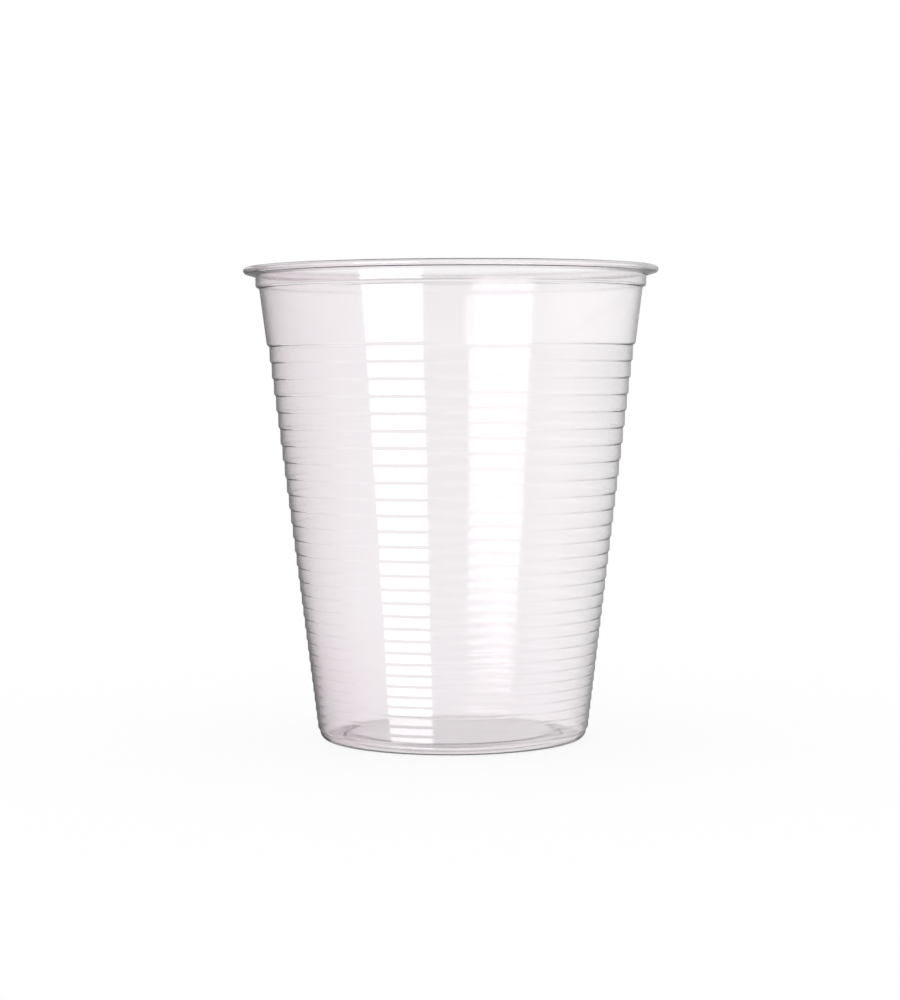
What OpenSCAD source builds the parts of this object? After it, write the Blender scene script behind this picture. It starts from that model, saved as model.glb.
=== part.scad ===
// Thin-walled clear drinking cup, thermoformed in one piece from plastic sheet.
// One section is revolved about the upright axis. The origin is the centre of the foot.
// The section is walked once along the outside of the sheet, from the middle of the base to the
// free edge of the rolled rim, and once along its inside.

/* [Overall] */
// Height from the foot to the top of the rolled rim
cup_h = 80.1; // [60:0.1:110]
// Outer diameter of the rolled rim
mouth_d = 70.3; // [62:0.1:100]
// Slope of the wall, in degrees from upright
taper = 6.95; // [4:0.05:9]

/* [Rolled rim] */
// How far the rim stands out from the neck
rim_overhang = 2.05; // [1.8:0.05:4]
// Radius of the inner edge of the mouth, where the neck turns out into the rim
crest_r = 0.9; // [0.6:0.05:1]
// Radius of the outer lip
lip_r = 0.6; // [0.5:0.02:0.7]
// Slope of the straight underside of the rim, down towards the neck, in degrees
under_slope = 16; // [4:1:30]
// Gap between the edge that is curled under and the neck
curl_gap = 0.3; // [0.1:0.05:0.5]

/* [Neck and drinking band] */
// Height of the neck, from the free edge of the rim down to the middle of its shoulder
neck_h = 1.95; // [1.5:0.05:6]
// How far the neck stands out from the drinking band
shoulder_w = 0.65; // [0.4:0.05:0.85]
// Radius of the outer edge of the shoulder
shoulder_edge_r = 0.5; // [0.4:0.05:0.8]
// Radius of the inner corner of the shoulder
shoulder_corner_r = 0.45; // [0.4:0.05:0.8]
// Height of the plain drinking band
band_h = 9.75; // [4:0.05:20]
// How far the stepped wall lies inside the line of the drinking band
band_setback = 0.3; // [0:0.01:0.4]

/* [Stepped wall] */
// Number of rings between the drinking band and the lowest step
ring_count = 29; // [12:1:34]
// Number of rings at the top that have the full height
even_rings = 8; // [1:1:12]
// Height of each ring below those, as a share of the ring above it
ring_ratio = 0.971; // [0.95:0.001:1]
// Slope of the face of one ring, in degrees from upright
face_draft = 1; // [0:0.1:2]
// Radius of the outer edge of each step
edge_r = 0.36; // [0.34:0.01:0.5]
// Radius of the inner corner of each step
corner_r = 0.3; // [0.28:0.01:0.5]
// Height of the lowest step above the foot
low_step_h = 1.7; // [1.7:0.05:4]

/* [Base] */
// How far the heel lies inside the line of the stepped wall
heel_setback = 0.2; // [0:0.01:0.25]
// Radius of the heel between the wall and the foot
heel_r = 1.3; // [0.8:0.05:1.3]
// Width of the flat ring on which the cup stands
foot_w = 2.4; // [1.5:0.05:6]
// Height of the base panel above the foot
panel_rise = 0.9; // [0.5:0.05:2]
// Radius of the upper bend of the base panel's sloping edge
panel_edge_r = 3; // [1.5:0.1:5]
// Radius of the lower bend of the base panel's sloping edge
panel_corner_r = 1; // [0.5:0.05:2]

/* [Sheet] */
// Thickness of the rim, where the sheet is hardly drawn
rim_t = 0.22; // [0.15:0.01:0.4]
// Thickness of the neck and wall
wall_t = 0.2; // [0.15:0.01:0.28]
// Thickness of the base and the heel
base_t = 0.3; // [0.2:0.01:0.4]
// Share of the thickness that follows round the bends of a step. The rest is only moved over, so
// that the sheet is thinner on the step, as it is drawn there.
bend_share = 0.25; // [0.1:0.05:1]

/* [Fineness] */
// Straight pieces in each small bend
bend_steps = 3; // [2:1:6]
// Straight pieces in the heel, in the crest and in each half of the lip
round_steps = 8; // [4:1:16]
// Straight pieces round the cup
round_fn = 180; // [48:12:240]

/* [Hidden] */
clear_plastic = [0.9, 0.89, 0.9, 0.55];

// Outer radii of the neck and of the drinking band at the shoulder
neck_r = mouth_d / 2 - rim_overhang;
band_top_r = neck_r - shoulder_w;

// The underside of the rim is straight from the lip to the free edge, which is near the neck
lip_centre = [mouth_d / 2 - lip_r, cup_h - lip_r];
under_from = lip_centre[0] + (lip_r - rim_t) * sin(under_slope);
under_l = (under_from - neck_r - curl_gap) / cos(under_slope);
rim_h = lip_r * (1 + cos(under_slope)) + under_l * sin(under_slope);

// Heights of the shoulder and of the foot of the drinking band
shoulder_z = cup_h - rim_h - neck_h;
band_z = shoulder_z - band_h;

// Headings along the outside of the sheet, in degrees: 0 is outwards and 90 is upwards
face_heading = 90 - face_draft;
band_heading = 90 - taper;
under_heading = under_slope - 180;

// Points of a bend about a centre, from one angle to another
function bend(centre, r, from, to, n) = [
    for (i = [0:n])
        let (a = from + (to - from) * i / n)
        centre + r * [cos(a), sin(a)]
];

// Unit vectors along a heading and to the right of it
function towards(heading) = [cos(heading), sin(heading)];
function right_of(heading) = [sin(heading), -cos(heading)];

// A step of the sheet, which turns right round one bend and then left round another. Its outside
// passes through p between the two, and its headings in turn are from, along and to. t is how far
// inside the outside this walk is.
function ledge(p, from, along, to, right_r, left_r, t) =
    let (
        q = p - (1 - bend_share) * t * right_of(from),
        b = bend_share * t
    )
    concat(
        bend(q + right_r * right_of(along), right_r + b, from + 90, along + 90, bend_steps),
        bend(q - left_r * right_of(along), left_r - b, along - 90, to - 90, bend_steps)
    );

// Heading along a ledge that moves the sheet sideways by a width between its two bends
function ledge_heading(heading, width, right_r, left_r) =
    heading - acos(max(0, 1 - width / (right_r + left_r)));

// Radius of the outside of the drinking band at a height
function band_r(z) = band_top_r - (shoulder_z - z) * tan(taper);

// Radius of the cone through the middles of the steps, at a height
function step_r(z) = band_r(z) - band_setback;

// Height of ring i as a share of a full ring, counted from the top
function ring_share(i) = pow(ring_ratio, max(0, i - even_rings + 1));

// Sum of the shares of the first n rings
function shares(n) = n <= 0 ? 0 : ring_share(n - 1) + shares(n - 1);

ring_h = (band_z - low_step_h) / shares(ring_count);

// Height of the middle of step i, counted from the top
function step_z(i) = band_z - ring_h * shares(i);

// Width of step i
function step_w(i) =
    ring_h * (ring_share(i - 1) + ring_share(i)) / 2 * (tan(taper) - tan(face_draft));

// A step that moves the stepped wall outwards by a width, up to a face with the heading to
function step(p, width, to, t) = ledge(
    p,
    face_heading,
    ledge_heading(face_heading, width, corner_r, edge_r),
    to,
    corner_r,
    edge_r,
    t
);

heel_w = step_w(ring_count) + heel_setback;
heel_centre_r = step_r(low_step_h) - step_w(ring_count) / 2 - heel_setback - heel_r;

// The base panel and its sloping edge, from the axis out to the foot ring
function base_side(t) =
    let (
        along = ledge_heading(0, panel_rise, panel_edge_r, panel_corner_r),
        foot_corner = [heel_centre_r - foot_w, panel_corner_r]
    )
    concat(
        [[0, panel_rise + t]],
        ledge(
            foot_corner + panel_corner_r * right_of(along),
            0,
            along,
            0,
            panel_edge_r,
            panel_corner_r,
            t
        )
    );

// The heel, where the sheet thins from the base to the wall. s is 0 outside and 1 inside.
function heel_side(s) = bend(
    [heel_centre_r + s * (base_t - wall_t), heel_r],
    heel_r - s * base_t,
    -90,
    -face_draft,
    round_steps
);

// The lowest step, the steps between the rings, and the step up to the drinking band
function wall_side(t) =
    let (band_w = step_w(1) / 2 + band_setback)
    concat(
        step([step_r(low_step_h) - heel_setback / 2, low_step_h], heel_w, face_heading, t),
        [
            for (i = [ring_count - 1:-1:1])
                each step([step_r(step_z(i)), step_z(i)], step_w(i), face_heading, t)
        ],
        step([band_r(band_z) - band_w / 2, band_z], band_w, band_heading, t)
    );

// The shoulder between the drinking band and the upright neck
function shoulder_side(t) =
    let (along = ledge_heading(90, shoulder_w, shoulder_corner_r, shoulder_edge_r))
    ledge(
        [neck_r - shoulder_edge_r * (1 - sin(along)), shoulder_z],
        band_heading,
        along,
        90,
        shoulder_corner_r,
        shoulder_edge_r,
        t
    );

// The rolled rim: over the crest above the neck, round the lip and back under to the free edge.
// s is 0 outside and 1 inside, and here the inside of the sheet is the side that shows.
function rim_side(s) =
    let (
        b = s * rim_t - rim_t,
        under_end = under_l * towards(under_heading) - (lip_r + b) * right_of(under_heading)
    )
    concat(
        bend([neck_r + crest_r - rim_t, cup_h - crest_r], crest_r + b, 180, 90, round_steps),
        bend(lip_centre, lip_r + b, 90, under_heading + 90, 2 * round_steps),
        [lip_centre + under_end]
    );

// One side of the sheet from the axis to the free edge. s is 0 outside and 1 inside.
function side(s) = concat(
    base_side(s * base_t),
    heel_side(s),
    wall_side(s * wall_t),
    shoulder_side(s * wall_t),
    rim_side(s)
);

function reversed(list) = [for (i = [len(list) - 1:-1:0]) list[i]];

module cup() {
    color(clear_plastic)
        rotate_extrude($fn = round_fn)
            polygon(concat(side(0), reversed(side(1))));
}

cup();
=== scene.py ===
from math import acos, cos, degrees, pi, radians, sin, tan

import bpy
import numpy as np
from mathutils import Matrix


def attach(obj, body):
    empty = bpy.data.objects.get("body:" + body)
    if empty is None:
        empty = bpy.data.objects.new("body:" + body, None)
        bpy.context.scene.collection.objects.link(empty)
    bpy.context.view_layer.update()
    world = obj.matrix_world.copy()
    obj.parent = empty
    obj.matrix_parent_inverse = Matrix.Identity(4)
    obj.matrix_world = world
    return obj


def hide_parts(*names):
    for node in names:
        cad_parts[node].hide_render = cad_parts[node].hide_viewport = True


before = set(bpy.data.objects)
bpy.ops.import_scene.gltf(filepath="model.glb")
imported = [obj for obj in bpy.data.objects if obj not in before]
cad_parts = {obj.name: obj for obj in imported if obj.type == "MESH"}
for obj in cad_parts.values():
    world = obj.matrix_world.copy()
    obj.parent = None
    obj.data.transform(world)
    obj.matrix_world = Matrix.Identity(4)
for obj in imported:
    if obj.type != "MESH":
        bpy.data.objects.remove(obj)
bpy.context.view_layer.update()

# A clear thin-walled drinking cup, formed in one piece from plastic sheet, as one revolved
# surface. Sizes in this first part are millimetres, as on a drawing, and the finished mesh is
# in metres. Headings are the directions in which the sheet runs as its section is walked from
# the middle of the base to the free edge of the rim: 0 is outwards and 90 is upwards.

CUP_HEIGHT = 80.1
MOUTH_DIAMETER = 70.3
TAPER = 6.95

RIM_OVERHANG = 2.05
CREST_RADIUS = 0.9
LIP_RADIUS = 0.6
UNDER_SLOPE = 16.0
CURL_GAP = 0.3

NECK_HEIGHT = 1.95
SHOULDER_WIDTH = 0.65
SHOULDER_EDGE_RADIUS = 0.5
SHOULDER_CORNER_RADIUS = 0.45
BAND_HEIGHT = 9.75
BAND_SETBACK = 0.3

RING_COUNT = 29
EVEN_RINGS = 8
RING_RATIO = 0.971
FACE_DRAFT = 1.0
LOW_STEP_HEIGHT = 1.7

# The bends of the steps are a little rounder than the solid's, and the face of each ring bulges
# outwards: it leans out by this many degrees more at its foot and less at its top.
EDGE_RADIUS = 0.5
CORNER_RADIUS = 0.44
FACE_BULGE = 1.1

HEEL_SETBACK = 0.2
HEEL_RADIUS = 1.3
FOOT_WIDTH = 2.4
PANEL_RISE = 0.9
PANEL_EDGE_RADIUS = 3.0
PANEL_CORNER_RADIUS = 1.0

RIM_THICKNESS = 0.22
WALL_THICKNESS = 0.2
BASE_THICKNESS = 0.3
# Share of the thickness that follows round the bends of a ledge. The rest is only moved over.
LEDGE_PARALLEL = 0.25

# Straight pieces in each bend of a ledge, in a larger bend, in the free edge and round the cup.
BEND_PIECES = 3
ROUND_PIECES = 8
EDGE_PIECES = 4
PIECES_ROUND = 164

# Lobes of the slightly uneven draw of the sheet: how many round the cup, radial size, phase in
# degrees, and how many degrees the lobe turns over each millimetre of height. They grow from
# nothing over LOBE_RISE above LOBE_FOOT, and die out over LOBE_FALL below the shoulder.
DRAW_LOBES = (
    (2, 0.030, 20.0, 0.4),
    (3, 0.022, 75.0, -0.9),
    (5, 0.012, 140.0, 2.1),
    (8, 0.007, 10.0, -3.4),
    (13, 0.003, 220.0, 7.0),
)
LOBE_FOOT = 2.0
LOBE_RISE = 8.0
LOBE_FALL = 4.0

NECK_RADIUS = MOUTH_DIAMETER / 2 - RIM_OVERHANG
BAND_TOP_RADIUS = NECK_RADIUS - SHOULDER_WIDTH

# The underside of the rim is straight, from the round lip down to the free edge of the curl.
LIP_CENTRE = (MOUTH_DIAMETER / 2 - LIP_RADIUS, CUP_HEIGHT - LIP_RADIUS)
UNDER_START = LIP_CENTRE[0] + (LIP_RADIUS - RIM_THICKNESS) * sin(radians(UNDER_SLOPE))
UNDER_LENGTH = (UNDER_START - NECK_RADIUS - CURL_GAP) / cos(radians(UNDER_SLOPE))
RIM_HEIGHT = (
    LIP_RADIUS * (1 + cos(radians(UNDER_SLOPE))) + UNDER_LENGTH * sin(radians(UNDER_SLOPE))
)
SHOULDER_Z = CUP_HEIGHT - RIM_HEIGHT - NECK_HEIGHT
BAND_Z = SHOULDER_Z - BAND_HEIGHT

BAND_HEADING = 90 - TAPER
FACE_HEADING = 90 - FACE_DRAFT
FACE_FOOT_HEADING = FACE_HEADING - FACE_BULGE
FACE_TOP_HEADING = FACE_HEADING + FACE_BULGE
UNDER_HEADING = UNDER_SLOPE - 180


def left_of(heading):
    """Unit vectors (radius, height) a quarter turn to the left of headings in degrees."""
    turned = np.radians(heading)
    return np.stack([-np.sin(turned), np.cos(turned)], axis=-1)


def towards(heading):
    """Unit vectors (radius, height) along headings in degrees."""
    turned = np.radians(heading)
    return np.stack([np.cos(turned), np.sin(turned)], axis=-1)


def bend(centre, radius, start, end, pieces, inset):
    """Round bend of the sheet: centre + (radius + inset) * left_of(heading), for even headings
    from start to end. radius is above 0 where the sheet turns right and below 0 where it turns
    left, and inset is the distance from the outside of the sheet. Returns rows of radius, height
    and heading."""
    headings = np.linspace(start, end, pieces + 1)
    places = np.asarray(centre, float) + (radius + inset) * left_of(headings)
    return np.column_stack([places, headings])


def ledge(middle, start, along, end, corner, edge, inset):
    """A ledge: right round a corner and left round an edge, with the heading `along` at the
    point `middle` of the outside, where the two bends meet in one row. The sheet thins on it,
    because the inside is moved over from the outside by most of its distance, and rounded about
    the same centres by the rest."""
    moved = inset * (1 - LEDGE_PARALLEL) * left_of(start)
    middle = np.asarray(middle, float) + moved
    round_inset = inset * LEDGE_PARALLEL
    return np.concatenate([
        bend(middle - corner * left_of(along), corner, start, along, BEND_PIECES, round_inset),
        bend(middle + edge * left_of(along), -edge, along, end, BEND_PIECES, round_inset)[1:],
    ])


def ledge_heading(heading, width, corner, edge):
    """Heading at the middle of a ledge that moves the sheet outwards by a width."""
    return heading - degrees(acos(max(0.0, 1 - width / (corner + edge))))


def band_radius(height):
    """Radius of the outside of the drinking band at a height."""
    return BAND_TOP_RADIUS - (SHOULDER_Z - height) * tan(radians(TAPER))


def step_radius(height):
    """Radius of the cone through the middles of the steps."""
    return band_radius(height) - BAND_SETBACK


def ring_shares():
    """Heights of the rings as shares of a full ring, from the top: 1, then a falling power."""
    index = np.arange(RING_COUNT + 1)
    return RING_RATIO ** np.maximum(0, index - EVEN_RINGS + 1)


SHARES = ring_shares()
RING_HEIGHT = (BAND_Z - LOW_STEP_HEIGHT) / SHARES[:RING_COUNT].sum()
STEP_HEIGHTS = BAND_Z - RING_HEIGHT * np.concatenate([[0.0], np.cumsum(SHARES[:RING_COUNT])])
STEP_GAIN = tan(radians(TAPER)) - tan(radians(FACE_DRAFT))


def step_width(index):
    """Width of a step: half of the rings above and below it, times the wall's slope past the
    slope of their faces."""
    return float(RING_HEIGHT * (SHARES[index - 1] + SHARES[index]) / 2 * STEP_GAIN)


HEEL_STEP_WIDTH = step_width(RING_COUNT) + HEEL_SETBACK
HEEL_CENTRE_RADIUS = (
    step_radius(LOW_STEP_HEIGHT) - step_width(RING_COUNT) / 2 - HEEL_SETBACK - HEEL_RADIUS
)
PANEL_HEADING = ledge_heading(0, PANEL_RISE, PANEL_EDGE_RADIUS, PANEL_CORNER_RADIUS)


def base_rows(inset):
    """The base panel from the axis outwards, and the slope down to the foot ring."""
    middle = [
        HEEL_CENTRE_RADIUS - FOOT_WIDTH + PANEL_CORNER_RADIUS * sin(radians(PANEL_HEADING)),
        PANEL_CORNER_RADIUS * (1 - cos(radians(PANEL_HEADING))),
    ]
    edge, corner = PANEL_EDGE_RADIUS, PANEL_CORNER_RADIUS
    return np.concatenate([
        [[0.0, PANEL_RISE + inset, 0.0]],
        ledge(middle, 0, PANEL_HEADING, 0, edge, corner, inset),
    ])


def heel_rows(side):
    """The heel, where the sheet thins from the base to the wall. side is 0 outside, 1 inside."""
    centre = [HEEL_CENTRE_RADIUS + side * (BASE_THICKNESS - WALL_THICKNESS), HEEL_RADIUS]
    return bend(centre, -HEEL_RADIUS, 0, FACE_HEADING, ROUND_PIECES, side * BASE_THICKNESS)


def step(middle, width, end, inset):
    """One step of the wall, up from the slightly bulged face of a ring to the heading `end`."""
    along = ledge_heading(FACE_HEADING, width, CORNER_RADIUS, EDGE_RADIUS)
    return ledge(middle, FACE_TOP_HEADING, along, end, CORNER_RADIUS, EDGE_RADIUS, inset)


def ring_step(index, inset):
    """A step between two rings. index counts the steps from the top, where 0 is the one up to
    the drinking band."""
    height = STEP_HEIGHTS[index]
    return step([step_radius(height), height], step_width(index), FACE_FOOT_HEADING, inset)


def wall_rows(inset):
    """The lowest step, the steps between the rings, and the step up to the drinking band."""
    low = [step_radius(LOW_STEP_HEIGHT) - HEEL_SETBACK / 2, LOW_STEP_HEIGHT]
    band_step = step_width(1) / 2 + BAND_SETBACK
    return np.concatenate([
        step(low, HEEL_STEP_WIDTH, FACE_FOOT_HEADING, inset),
        *[ring_step(index, inset) for index in range(RING_COUNT - 1, 0, -1)],
        step([band_radius(BAND_Z) - band_step / 2, BAND_Z], band_step, BAND_HEADING, inset),
    ])


def shoulder_rows(inset):
    """The shoulder between the drinking band and the upright neck."""
    along = ledge_heading(90, SHOULDER_WIDTH, SHOULDER_CORNER_RADIUS, SHOULDER_EDGE_RADIUS)
    middle = [NECK_RADIUS - SHOULDER_EDGE_RADIUS * (1 - sin(radians(along))), SHOULDER_Z]
    corner, edge = SHOULDER_CORNER_RADIUS, SHOULDER_EDGE_RADIUS
    return ledge(middle, BAND_HEADING, along, 90, corner, edge, inset)


def rim_rows(inset):
    """The rolled rim: over the crest above the neck, round the lip and back under it."""
    crest = [NECK_RADIUS + CREST_RADIUS - RIM_THICKNESS, CUP_HEIGHT - CREST_RADIUS]
    return np.concatenate([
        bend(crest, CREST_RADIUS - RIM_THICKNESS, 90, 0, ROUND_PIECES, inset),
        bend(LIP_CENTRE, LIP_RADIUS - RIM_THICKNESS, 0, UNDER_HEADING, 2 * ROUND_PIECES, inset),
    ])


def free_edge_rows():
    """The rounded free edge of the curl: half a circle of the sheet's thickness, from the
    outside of the sheet round to its inside. Rows of radius, height and the unit normal."""
    half = RIM_THICKNESS / 2
    end = np.array(LIP_CENTRE) + (LIP_RADIUS - half) * left_of(UNDER_HEADING)
    centre = end + (UNDER_LENGTH - half) * towards(UNDER_HEADING)
    facing = towards(np.linspace(UNDER_HEADING - 90, UNDER_HEADING + 90, EDGE_PIECES + 1))
    return np.column_stack([centre + half * facing, facing])


def side_rows(side):
    """One side of the sheet from the axis to the rim: radius, height and the unit normal, which
    is to the right of the heading outside and to the left of it inside."""
    inset = side * WALL_THICKNESS
    walked = np.concatenate([
        base_rows(side * BASE_THICKNESS),
        heel_rows(side),
        wall_rows(inset),
        shoulder_rows(inset),
        rim_rows(side * RIM_THICKNESS),
    ])
    normals = left_of(walked[:, 2]) * (1 if side else -1)
    return np.column_stack([walked[:, :2], normals])


def section():
    """The closed section: up the outside, round the free edge of the rim and down the inside."""
    return np.concatenate([side_rows(0), free_edge_rows(), side_rows(1)[::-1]])


def smooth_rise(length):
    """Smooth rise from 0 at a length of 0 to 1 at 1: length ** 2 * (3 - 2 * length), and its
    slope."""
    held = np.clip(length, 0, 1)
    return held * held * (3 - 2 * held), 6 * held * (1 - held)


def draw_lobes(turn, height):
    """Radial unevenness of the drawn sheet: a sum of lobes size * sin(count * turn + phase +
    twist * height), faded out towards the foot and the shoulder. Returns the offset and its
    slopes per radian and per millimetre of height."""
    low, low_slope = smooth_rise((height - LOBE_FOOT) / LOBE_RISE)
    high, high_slope = smooth_rise((SHOULDER_Z - height) / LOBE_FALL)
    fade = low * high
    fade_slope = low_slope / LOBE_RISE * high - high_slope / LOBE_FALL * low
    offset, per_turn, per_height = 0.0, 0.0, 0.0
    for count, size, phase, twist in DRAW_LOBES:
        angle = count * turn + radians(phase) + radians(twist) * height
        wave = size * np.sin(angle)
        slope = size * np.cos(angle)
        offset = offset + fade * wave
        per_turn = per_turn + fade * count * slope
        per_height = per_height + fade * radians(twist) * slope + fade_slope * wave
    return offset, per_turn, per_height


def revolved(rows, pieces):
    """The section carried round the axis: point (radius + lobes) * (cos turn, sin turn), height
    for each row and turn, with its exact normal. The two rows on the axis are one point each.
    Returns points, normals, quads and end triangles."""
    turn = np.arange(pieces) * 2 * pi / pieces
    radius, height, out, up = (rows[1:-1, k, None] for k in range(4))
    offset, per_turn, per_height = draw_lobes(turn[None, :], height)
    reach = radius + offset
    ring = np.stack([reach * np.cos(turn), reach * np.sin(turn), height + 0 * reach], axis=-1)
    around = -out * per_turn / radius
    rise = up - out * per_height
    normal = np.stack([
        out * np.cos(turn) - around * np.sin(turn),
        out * np.sin(turn) + around * np.cos(turn),
        rise + 0 * around,
    ], axis=-1)
    normal /= np.linalg.norm(normal, axis=-1, keepdims=True)
    ends = np.array([[0, 0, rows[0, 1]], [0, 0, rows[-1, 1]]])
    end_normals = np.array([[0, 0, rows[0, 3]], [0, 0, rows[-1, 3]]])
    points = np.concatenate([ring.reshape(-1, 3), ends])
    normals = np.concatenate([normal.reshape(-1, 3), end_normals])

    here = np.arange(pieces)
    after = (here + 1) % pieces
    low = np.arange(len(rows) - 3)[:, None] * pieces
    high = low + pieces
    quads = np.stack([low + here, low + after, high + after, high + here], axis=-1)
    last = (len(rows) - 3) * pieces
    first_end, last_end = len(points) - 2, len(points) - 1
    fans = np.concatenate([
        np.stack([0 * here + first_end, after, here], axis=-1),
        np.stack([last + here, last + after, 0 * here + last_end], axis=-1),
    ])
    return points, normals, quads.reshape(-1, 4), fans


def sheet_piece(name, rows):
    """The cup as one closed mesh in metres, smooth, with the exact normals of its bends."""
    points, normals, quads, fans = revolved(rows, PIECES_ROUND)
    mesh = bpy.data.meshes.new(name)
    corners = np.concatenate([quads.ravel(), fans.ravel()]).astype(np.int32)
    counts = np.concatenate([np.full(len(quads), 4), np.full(len(fans), 3)])
    starts = np.concatenate([[0], np.cumsum(counts)[:-1]]).astype(np.int32)
    mesh.vertices.add(len(points))
    mesh.vertices.foreach_set("co", (points / 1000).astype(np.float32).ravel())
    mesh.loops.add(len(corners))
    mesh.loops.foreach_set("vertex_index", corners)
    mesh.polygons.add(len(counts))
    mesh.polygons.foreach_set("loop_start", starts)
    mesh.update(calc_edges=True)
    mesh.polygons.foreach_set("use_smooth", np.ones(len(counts), bool))
    mesh.validate()
    mesh.normals_split_custom_set_from_vertices(normals.tolist())
    piece = bpy.data.objects.new(name, mesh)
    bpy.context.scene.collection.objects.link(piece)
    return piece


class Signal:
    """A socket of a node tree. Python's operators on it add Math nodes."""

    def __init__(self, bench, socket):
        self.bench = bench
        self.socket = socket

    def maths(self, operation, first, second=0.0):
        """A Math node on two values."""
        values = {"Value": first, "Value_001": second}
        return self.bench.node("ShaderNodeMath", {"operation": operation}, values)

    def __add__(self, other):
        return self.maths("ADD", self, other)

    def __sub__(self, other):
        return self.maths("SUBTRACT", self, other)

    def __rsub__(self, other):
        return self.maths("SUBTRACT", other, self)

    def __mul__(self, other):
        return self.maths("MULTIPLY", self, other)

    def __neg__(self):
        return self.maths("MULTIPLY", self, -1.0)

    __radd__ = __add__
    __rmul__ = __mul__


class Bench:
    """The nodes of one material or of the world, made one at a time."""

    def __init__(self, tree):
        self.tree = tree
        tree.nodes.clear()

    def node(self, kind, settings=None, sockets=None, output=0):
        """A node of a type: its settings first, then the values or links of its sockets, which
        are named by their identifiers."""
        made = self.tree.nodes.new(kind)
        for name, value in (settings or {}).items():
            setattr(made, name, value)
        by_name = {socket.identifier: socket for socket in made.inputs}
        for name, value in (sockets or {}).items():
            if isinstance(value, Signal):
                self.tree.links.new(value.socket, by_name[name])
            else:
                by_name[name].default_value = value
        if not made.outputs:
            return None
        return Signal(self, made.outputs[output])

    def soft_step(self, value, start, end):
        """0 below start, 1 above end and a smooth rise between them."""
        limits = {"Value": value, "From Min": start, "From Max": end}
        return self.node("ShaderNodeMapRange", {"interpolation_type": "SMOOTHSTEP"}, limits)

    def between(self, value, low, high, soft):
        """1 between low and high, falling smoothly to 0 over the width soft at each."""
        rise = self.soft_step(value, low - soft / 2, low + soft / 2)
        return rise * (1 - self.soft_step(value, high - soft / 2, high + soft / 2))

    def larger(self, first, second):
        """The larger of two values."""
        return first.maths("MAXIMUM", first, second)

    def smaller(self, first, second):
        """The smaller of two values."""
        return first.maths("MINIMUM", first, second)

    def mixed(self, share, first, second):
        """Colour between two colours."""
        sockets = {"Factor_Float": share, "A_Color": first, "B_Color": second}
        return self.node("ShaderNodeMix", {"data_type": "RGBA"}, sockets, output=2)

    def noise(self, place, stretch, scale, detail):
        """Noise on coordinates that are first scaled along each axis."""
        sockets = {"Vector": place, "Scale": stretch}
        stretched = self.node("ShaderNodeMapping", {"vector_type": "POINT"}, sockets)
        sockets = {"Vector": stretched, "Scale": scale, "Detail": detail}
        return self.node("ShaderNodeTexNoise", {}, sockets)

    def axes(self, place):
        """The three parts of a vector."""
        made = self.node("ShaderNodeSeparateXYZ", {}, {"Vector": place})
        return [Signal(self, socket) for socket in made.socket.node.outputs]

    def light_path(self, output):
        """What the ray has met on its way."""
        made = self.node("ShaderNodeLightPath")
        return Signal(self, made.socket.node.outputs[output])


def blend(first, second, share):
    """first + (second - first) * share, for numbers and for signals."""
    return first + (second - first) * share


# The sheet's colours: its own faint lilac grey, and a darker tint that is painted shade on the -X
# side and also darkens the sheet towards the foot. The painted shade starts and is full at the
# distances of the side pair towards -X, and the darkening is full and ends at the heights of the
# foot pair, all in metres. Its shares are those at the side, at the foot, and added where they
# meet.
SHEET_TINT = (0.999, 0.980, 0.991, 1.0)
SHADE_AND_FOOT_TINT = (0.942, 0.881, 0.910, 1.0)
PAINTED_SHADE_SIDE = (0.006, 0.029)
DARKER_FOOT = (0.004, 0.024)
PAINTED_SHADE_SIDE_SHARE = 0.38
DARKER_FOOT_SHARE = 0.18
SHADE_AND_FOOT_SHARE = 0.44

# Streaks of the draw and haze: stretch along each axis, scale and detail of their noise.
STREAKS = ((1.0, 1.0, 0.12), 260.0, 3.0)
STREAK_STRENGTH = 0.05
STREAK_DEPTH = 0.0002
HAZE = ((1.0, 1.0, 0.5), 90.0, 4.0)
HAZE_ROUGHNESS = 0.05
SHEET_ROUGHNESS = 0.05
SHEET_IOR = 1.49


def clear_sheet_material():
    """Clear glossy plastic sheet: a faint lilac grey, with painted shade as a darker tint towards
    -X, darker also towards the foot, with a fine haze and the slight upright streaks that drawing
    leaves."""
    material = bpy.data.materials.new("clear_plastic_sheet")
    material.use_nodes = True
    bench = Bench(material.node_tree)
    place = bench.node("ShaderNodeTexCoord", output=3)
    across, _, height = bench.axes(place)
    # Painted shade: the tint darkens on the -X side of the cup, and it also darkens towards the
    # foot.
    side = bench.soft_step(-across, *PAINTED_SHADE_SIDE)
    foot = 1 - bench.soft_step(height, *DARKER_FOOT)
    darker_share = PAINTED_SHADE_SIDE_SHARE * side + foot * (DARKER_FOOT_SHARE + SHADE_AND_FOOT_SHARE * side)
    tint = bench.mixed(darker_share, SHEET_TINT, SHADE_AND_FOOT_TINT)
    roughness = SHEET_ROUGHNESS + HAZE_ROUGHNESS * bench.noise(place, *HAZE)
    bump = bench.node("ShaderNodeBump", {}, {
        "Height": bench.noise(place, *STREAKS),
        "Strength": STREAK_STRENGTH,
        "Distance": STREAK_DEPTH,
    })
    shader = bench.node("ShaderNodeBsdfPrincipled", {}, {
        "Base Color": tint,
        "Roughness": roughness,
        "IOR": SHEET_IOR,
        "Transmission Weight": 1.0,
        "Normal": bump,
    })
    bench.node("ShaderNodeOutputMaterial", {}, {"Surface": shader})
    return material


def reflected_share(bench):
    """1 on a ray that has been reflected by a gloss before it gets here, and else 0. A ray that
    has only passed through clear plastic keeps 0, and so does all diffuse light."""
    gloss = bench.smaller(bench.light_path("Glossy Depth"), 1.0)
    diffuse = bench.smaller(bench.light_path("Diffuse Depth"), 1.0)
    return gloss * (1 - diffuse)


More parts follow.
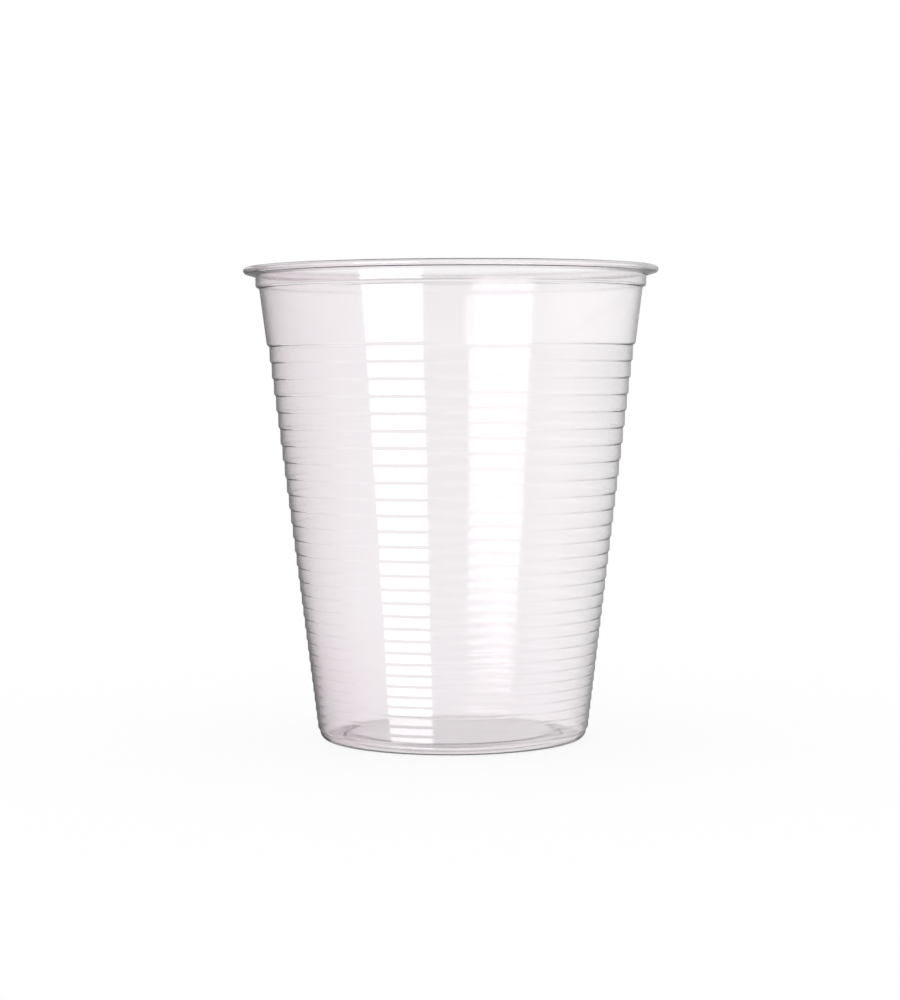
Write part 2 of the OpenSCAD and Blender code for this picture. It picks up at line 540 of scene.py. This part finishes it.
def backdrop_share(bench):
    """1 where the camera sees a surface itself, in a gloss or through clear plastic."""
    seen = bench.larger(bench.light_path("Is Camera Ray"), bench.light_path("Is Glossy Ray"))
    return bench.larger(seen, bench.light_path("Is Transmission Ray"))


# The room that the cup's gloss reflects, by direction from the cup in degrees. Azimuth is 0
# towards the camera and above 0 to its left, elevation is 0 at the horizon, and a turn is an
# azimuth to either side. A pair of them is where a soft change starts and ends. Levels of light
# are shares of plain white.

# The walls: dark, light on the right and a little lighter behind on the left, with a shade low
# down at the back.
WALLS_LIGHT, RIGHT_LIGHT, BEHIND_LIGHT = 0.10, 0.85, 0.25
RIGHT_STARTS, RIGHT_ENDS, RIGHT_FOOT = (35.0, 80.0), (135.0, 200.0), (-29.0, -18.0)
BEHIND_STARTS = (115.0, 155.0)
SHADE, SHADE_STARTS, SHADE_TOP = 0.45, (110.0, 130.0), (-10.0, -4.0)

# A pale strip above the horizon, brightest opposite the camera, and the ceiling over it.
STRIP_LIGHT, STRIP_OPPOSITE_LIGHT, CEILING_LIGHT = 0.8, 1.0, 0.8
STRIP_LOW, STRIP_HIGH, STRIP_SOFT = 5.0, 15.0, 2.0
OPPOSITE_STARTS = (160.0, 174.0)
CEILING_STARTS = (16.0, 24.0)

# The table: grey, dark below the window, and pale and lower behind, where it has a lit edge.
TABLE_LIGHT, TABLE_BEHIND_LIGHT = 0.45, 0.9
TABLE_TOP, TABLE_BEHIND_DROP, TABLE_SOFT = -31.0, 12.0, 5.0
TABLE_BEHIND_STARTS = (80.0, 120.0)
TABLE_DARK, TABLE_DARK_RIGHT, TABLE_DARK_LEFT, TABLE_DARK_SOFT = 0.95, 10.0, 60.0, 4.0
TABLE_EDGE_LOW, TABLE_EDGE_HIGH, TABLE_EDGE_SOFT = -45.0, -22.0, 3.0
TABLE_EDGE_STARTS = (125.0, 150.0)

# One tall window. It is near, so the far wall sees it a little aside: rays from there have other
# edges for it, with a low edge that rises to both sides of FAR_WINDOW_LOWEST, and a right edge
# that moves out by FAR_WINDOW_WIDENING higher up. They have crossed the faces of the sheet more
# than FAR_CROSSINGS times. Only the first reflection of a ray shows the window.
WINDOW_LIGHT = 4.2
WINDOW_LEFT, WINDOW_RIGHT, WINDOW_SOFT = 53.8, 16.8, 0.75
WINDOW_LOW, WINDOW_LOW_SOFT, WINDOW_HIGH = -14.0, 0.3, 20.0
FAR_CROSSINGS = (2.5, 3.5)
FAR_WINDOW_LEFT, FAR_WINDOW_RIGHT = 53.0, 12.5
FAR_WINDOW_LOW, FAR_WINDOW_LOWEST, FAR_WINDOW_RISE = -5.8, 38.0, 0.12
FAR_WINDOW_WIDENING, FAR_WINDOW_WIDENS = 3.0, (4.0, 9.0)
SECOND_REFLECTION = (1.2, 1.8)


def directions(bench):
    """Azimuth and elevation of a direction, in degrees."""
    x, y, z = bench.axes(bench.node("ShaderNodeTexCoord", output=0))
    azimuth = x.maths("ARCTAN2", -x, -y)
    elevation = z.maths("ARCSINE", z)
    return azimuth * (180 / pi), elevation * (180 / pi)


def walls_light(bench, azimuth, turn, elevation):
    """Light of the walls by direction."""
    right = bench.soft_step(-azimuth, *RIGHT_STARTS) * (1 - bench.soft_step(-azimuth, *RIGHT_ENDS))
    right = right * bench.soft_step(elevation, *RIGHT_FOOT)
    behind = bench.soft_step(azimuth, *BEHIND_STARTS)
    light = WALLS_LIGHT + (RIGHT_LIGHT - WALLS_LIGHT) * right
    light = light + (BEHIND_LIGHT - WALLS_LIGHT) * behind
    low_behind = bench.soft_step(turn, *SHADE_STARTS) * (1 - bench.soft_step(elevation, *SHADE_TOP))
    return light * (1 - SHADE * low_behind)


def table_light(bench, azimuth, behind):
    """Light of the table by azimuth and by the share of behind."""
    below = bench.between(azimuth, TABLE_DARK_RIGHT, TABLE_DARK_LEFT, TABLE_DARK_SOFT)
    return blend(TABLE_LIGHT, TABLE_BEHIND_LIGHT, behind) * (1 - TABLE_DARK * below)


def room_light(bench, azimuth, elevation):
    """Light of the room without its window: the walls, with the strip, the ceiling and the table
    in place of them at their elevations."""
    turn = bench.larger(azimuth, -azimuth)
    behind = bench.soft_step(turn, *TABLE_BEHIND_STARTS)
    strip = bench.between(elevation, STRIP_LOW, STRIP_HIGH, STRIP_SOFT)
    ceiling = bench.soft_step(elevation, *CEILING_STARTS)
    above_table = elevation - TABLE_TOP + TABLE_BEHIND_DROP * behind
    table = 1 - bench.soft_step(above_table, -TABLE_SOFT, TABLE_SOFT)
    strip_light = blend(STRIP_LIGHT, STRIP_OPPOSITE_LIGHT, bench.soft_step(turn, *OPPOSITE_STARTS))
    light = walls_light(bench, azimuth, turn, elevation)
    light = light * (1 - strip) * (1 - ceiling) * (1 - table) + strip_light * strip
    light = light + CEILING_LIGHT * ceiling + table_light(bench, azimuth, behind) * table
    edge = bench.between(elevation, TABLE_EDGE_LOW, TABLE_EDGE_HIGH, TABLE_EDGE_SOFT)
    return blend(light, TABLE_BEHIND_LIGHT, edge * bench.soft_step(turn, *TABLE_EDGE_STARTS))


def window_share(bench, azimuth, elevation):
    """1 in the window and 0 outside it."""
    far = bench.soft_step(bench.light_path("Transmission Depth"), *FAR_CROSSINGS)
    aside = bench.larger(azimuth - FAR_WINDOW_LOWEST, FAR_WINDOW_LOWEST - azimuth)
    low = blend(WINDOW_LOW, FAR_WINDOW_LOW + FAR_WINDOW_RISE * aside, far)
    left = blend(WINDOW_LEFT, FAR_WINDOW_LEFT, far)
    widened = FAR_WINDOW_WIDENING * bench.soft_step(elevation, *FAR_WINDOW_WIDENS)
    right = blend(WINDOW_RIGHT, FAR_WINDOW_RIGHT - widened, far)
    share = bench.soft_step(azimuth - right, -WINDOW_SOFT, WINDOW_SOFT)
    share = share * (1 - bench.soft_step(azimuth - left, -WINDOW_SOFT, WINDOW_SOFT))
    share = share * bench.soft_step(elevation - low, -WINDOW_LOW_SOFT, WINDOW_LOW_SOFT)
    share = share * (1 - bench.soft_step(elevation - WINDOW_HIGH, -WINDOW_SOFT, WINDOW_SOFT))
    return share * (1 - bench.soft_step(bench.light_path("Glossy Depth"), *SECOND_REFLECTION))


def studio_light(bench):
    """Light of the room by direction, with its window."""
    azimuth, elevation = directions(bench)
    room = room_light(bench, azimuth, elevation)
    return blend(room, WINDOW_LIGHT, window_share(bench, azimuth, elevation))


def studio_world():
    """White all round at the plain level, except in the gloss, which reflects the room."""
    world = bpy.data.worlds.new("studio")
    bpy.context.scene.world = world
    world.use_nodes = True
    bench = Bench(world.node_tree)
    strength = blend(1, studio_light(bench), reflected_share(bench))
    shown = bench.node("ShaderNodeBackground", {}, {"Color": (1, 1, 1, 1), "Strength": strength})
    bench.node("ShaderNodeOutputWorld", {}, {"Surface": shown})


# Where the floor is seen, it glows by most of the white, and only the rest is lit and can take a
# shadow. FLOOR_PALE is the share of light that it gives back to the cup. Places are in metres.
FLOOR_GLOW = 0.84
FLOOR_PALE = 0.8
FLOOR_LEVEL = -0.0001
FLOOR_REACH = 4.0


def floor_material():
    """Pale matt floor, shown as white as the backdrop, with the object's shadow on it. The
    gloss of the cup looks past it, as over the edge of a narrow table."""
    material = bpy.data.materials.new("pale_floor")
    material.use_nodes = True
    bench = Bench(material.node_tree)
    shown = backdrop_share(bench)
    pale = blend(FLOOR_PALE, 1 - FLOOR_GLOW, shown)
    colour = bench.mixed(pale, (0, 0, 0, 1), (1, 1, 1, 1))
    matt = bench.node("ShaderNodeBsdfDiffuse", {}, {"Color": colour})
    glow = bench.node("ShaderNodeEmission", {}, {"Strength": shown * FLOOR_GLOW})
    seen = bench.node("ShaderNodeAddShader", {}, {"Shader": matt, "Shader_001": glow})
    clear = bench.node("ShaderNodeBsdfTransparent")
    sockets = {"Fac": reflected_share(bench), "Shader": seen, "Shader_001": clear}
    surface = bench.node("ShaderNodeMixShader", {}, sockets)
    bench.node("ShaderNodeOutputMaterial", {}, {"Surface": surface})
    return material


def floor():
    """A level square, just under the foot."""
    mesh = bpy.data.meshes.new("floor")
    corners = np.array([[-1, -1], [1, -1], [1, 1], [-1, 1]]) * FLOOR_REACH
    points = np.column_stack([corners, np.full(4, FLOOR_LEVEL)])
    mesh.from_pydata(points.tolist(), [], [(0, 1, 2, 3)])
    mesh.materials.append(floor_material())
    piece = bpy.data.objects.new("floor", mesh)
    bpy.context.scene.collection.objects.link(piece)


# Metres, degrees and, for the lens and the sensor, millimetres.
CAMERA_PLACE = (0.0, -0.42054, 0.06279)
CAMERA_PITCH = 3.034
CAMERA_ROLL = 0.30
CAMERA_YAW = 0.046
CAMERA_LENS = 88.85
CAMERA_SENSOR = 36.0


def camera():
    """The photograph's view: a little above the middle of the wall, looking slightly down."""
    data = bpy.data.cameras.new("camera")
    data.lens = CAMERA_LENS
    data.sensor_width = CAMERA_SENSOR
    data.dof.use_dof = False
    piece = bpy.data.objects.new("camera", data)
    bpy.context.scene.collection.objects.link(piece)
    piece.matrix_world = (
        Matrix.Translation(CAMERA_PLACE)
        @ Matrix.Rotation(radians(CAMERA_YAW), 4, "Z")
        @ Matrix.Rotation(radians(90 - CAMERA_PITCH), 4, "X")
        @ Matrix.Rotation(radians(-CAMERA_ROLL), 4, "Z")
    )
    bpy.context.scene.camera = piece


bpy.context.scene.view_settings.view_transform = "Standard"
camera()
studio_world()
floor()

cup = sheet_piece("cup_sheet", section())
cup.data.materials.append(clear_sheet_material())
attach(cup, "root")
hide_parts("cup")
